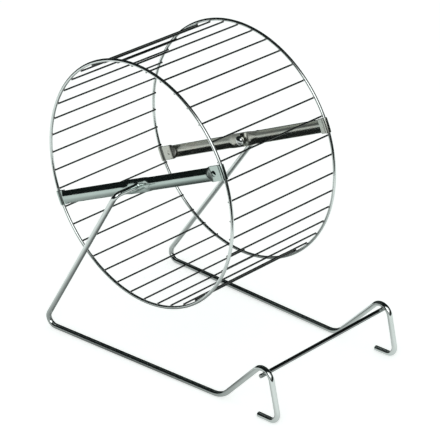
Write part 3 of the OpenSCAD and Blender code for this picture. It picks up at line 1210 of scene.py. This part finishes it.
@dataclass(frozen=True)
class Studio:
    """Pale sheet under the object in a white room, with dark cards for the chrome to mirror."""

    sheet_azimuth_deg: float = -45.0
    sheet_front: float = 0.33
    sheet_back: float = 2.0
    sheet_aside: float = 0.9
    sheet_colour: Colour = (0.80, 0.82, 0.81)
    sheet_roughness: float = 0.9
    sheet_lift: float = 0.50
    mirrored_lift: float = 0.42
    shade_colour: Colour = (0.16, 0.17, 0.168)
    shade_middle: tuple[float, float, float] = (-0.04, -0.03, 0)
    shade_reach: float = 0.25
    room_colour: Colour = (0.62, 0.65, 0.64)
    card_colour: Colour = (0.008, 0.011, 0.011)
    windows: tuple[Window, ...] = (Window(-52, 28, 14, 32), Window(-8, 42, 10, 26))
    lamp_power: float = 7.5
    lamp_width: float = 1.3
    lamp_distance: float = 2.0

    def room(self) -> None:
        """Set the world: white past the object, a plain level for diffuse light, cards for the chrome.

        White shows to the camera, through glass, and to the metal in the windows.
        """
        world = bpy.data.worlds.new("studio_room")
        bpy.context.scene.world = world
        world.use_nodes = True
        tree = world.node_tree
        nodes = Nodes(tree)
        way = nodes.add("ShaderNodeTexCoord").outputs["Generated"]
        ray = nodes.add("ShaderNodeLightPath").outputs
        white = nodes.calculate("MAXIMUM", ray["Is Camera Ray"], ray["Is Transmission Ray"])
        for window in self.windows:
            towards = nodes.measure("DOT_PRODUCT", way, window.way())
            edges = np.cos(np.radians([window.edge_deg, window.core_deg]))
            share = nodes.ramp(towards, edges, (0.0, 1.0))
            white = nodes.calculate("MULTIPLY_ADD", ray["Is Glossy Ray"], share, white)
            white.node.use_clamp = True
        dark = nodes.blend(ray["Is Glossy Ray"], self.room_colour, self.card_colour)
        tree.links.new(nodes.blend(white, dark, WHITE), tree.nodes["Background"].inputs["Color"])

    def sheet(self) -> None:
        """Lay a pale sheet under the object, with its front edge square to the given azimuth."""
        azimuth = np.radians(self.sheet_azimuth_deg)
        front = np.array([np.cos(azimuth), np.sin(azimuth), 0])
        aside = np.array([-front[1], front[0], 0])
        ahead = np.array([self.sheet_front, self.sheet_front, -self.sheet_back, -self.sheet_back])
        over = np.array([-self.sheet_aside, self.sheet_aside, self.sheet_aside, -self.sheet_aside])
        mesh = bpy.data.meshes.new("studio_sheet")
        mesh.from_pydata((np.outer(ahead, front) + np.outer(over, aside)).tolist(), [], [(0, 1, 2, 3)])
        mesh.materials.append(self.paper())
        sheet = bpy.data.objects.new("studio_sheet", mesh)
        bpy.context.scene.collection.objects.link(sheet)

    def paper(self) -> bpy.types.Material:
        """Build the sheet's material.

        Returns:
            The material. The camera sees it lifted to white. What mirrors it sees it shaded near
            the shade's middle, and lifted by less outside the shade.
        """
        made = bpy.data.materials.new("sheet_paper")
        made.use_nodes = True
        tree = made.node_tree
        nodes = Nodes(tree)
        ray = nodes.add("ShaderNodeLightPath").outputs
        place = nodes.add("ShaderNodeTexCoord").outputs["Object"]
        distance = nodes.measure("DISTANCE", place, self.shade_middle)
        near = nodes.ramp(distance, (0.0, self.shade_reach), (1.0, 0.0))
        shade = nodes.calculate("MULTIPLY", near, ray["Is Glossy Ray"])
        open_sheet = nodes.calculate("SUBTRACT", ray["Is Glossy Ray"], shade)
        mirrored = nodes.calculate("MULTIPLY", open_sheet, self.mirrored_lift)
        clear = nodes.calculate("MAXIMUM", ray["Is Camera Ray"], ray["Is Transmission Ray"])
        lift = nodes.calculate("MULTIPLY_ADD", clear, self.sheet_lift, mirrored)
        colour = nodes.blend(shade, self.sheet_colour, self.shade_colour)

        paper = tree.nodes["Principled BSDF"]
        paper.inputs["Roughness"].default_value = self.sheet_roughness
        paper.inputs["Emission Color"].default_value = (*WHITE, 1)
        tree.links.new(colour, paper.inputs["Base Color"])
        tree.links.new(lift, paper.inputs["Emission Strength"])
        return made

    def lamp(self) -> None:
        """Hang one wide soft lamp in the first window, with its light towards the axle."""
        light = bpy.data.lights.new("soft_lamp", "AREA")
        light.shape = "DISK"
        light.size = self.lamp_width
        light.energy = self.lamp_power
        lamp = bpy.data.objects.new("soft_lamp", light)
        place = AXLE + self.lamp_distance * self.windows[0].way()
        back = unit(place - AXLE)
        right = unit(np.cross(Z_WAY, back))
        lamp.matrix_world = stand_at(place, right, np.cross(back, right), back)
        lamp.visible_camera = False
        bpy.context.scene.collection.objects.link(lamp)

    def build(self) -> None:
        """Make the room, its sheet and its lamp."""
        self.room()
        self.sheet()
        self.lamp()


@dataclass(frozen=True)
class PhotoCamera:
    """Camera at the photograph's angle, found by fitting the wheel and the stand to it."""

    azimuth_deg: float = 45.23
    elevation_deg: float = 25.46
    roll_deg: float = -2.26
    distance: float = 1.657
    focal_px: float = 2116.0
    image_px: float = 440.0
    axle_px: tuple[float, float] = (190.62, 162.27)
    sensor_mm: float = 36.0

    def build(self) -> None:
        """Place the camera so that the axle's middle falls on its pixel."""
        az, el, roll = np.radians([self.azimuth_deg, self.elevation_deg, self.roll_deg])
        back = np.array([np.sin(az) * np.cos(el), -np.cos(az) * np.cos(el), np.sin(el)])
        level = unit(np.cross(-back, Z_WAY))
        upright = np.cross(level, -back)
        right = np.cos(roll) * level + np.sin(roll) * upright
        up = np.cos(roll) * upright - np.sin(roll) * level
        middle = self.image_px / 2
        aside = (self.axle_px[0] - middle) * self.distance / self.focal_px
        above = (middle - self.axle_px[1]) * self.distance / self.focal_px
        place = AXLE - aside * right - above * up + self.distance * back
        data = bpy.data.cameras.new("photo_camera")
        data.sensor_width = self.sensor_mm
        data.lens = self.focal_px / self.image_px * self.sensor_mm
        camera = bpy.data.objects.new("photo_camera", data)
        camera.matrix_world = stand_at(place, right, up, back)
        bpy.context.scene.collection.objects.link(camera)
        bpy.context.scene.camera = camera


def main() -> None:
    """Build the wheel, the stand and the studio."""
    logging.basicConfig(level=logging.INFO, format="%(name)s: %(message)s")
    hoops = Hoops()
    stand = StandSizes()
    for part in (hoops, Rungs(hoops), Strip(hoops), SideWires(stand), CrossBar(stand), AxleCaps(stand)):
        part.build()
    Studio().build()
    PhotoCamera().build()
    bpy.context.scene.view_settings.view_transform = "Standard"


if __name__ == "__main__":
    main()
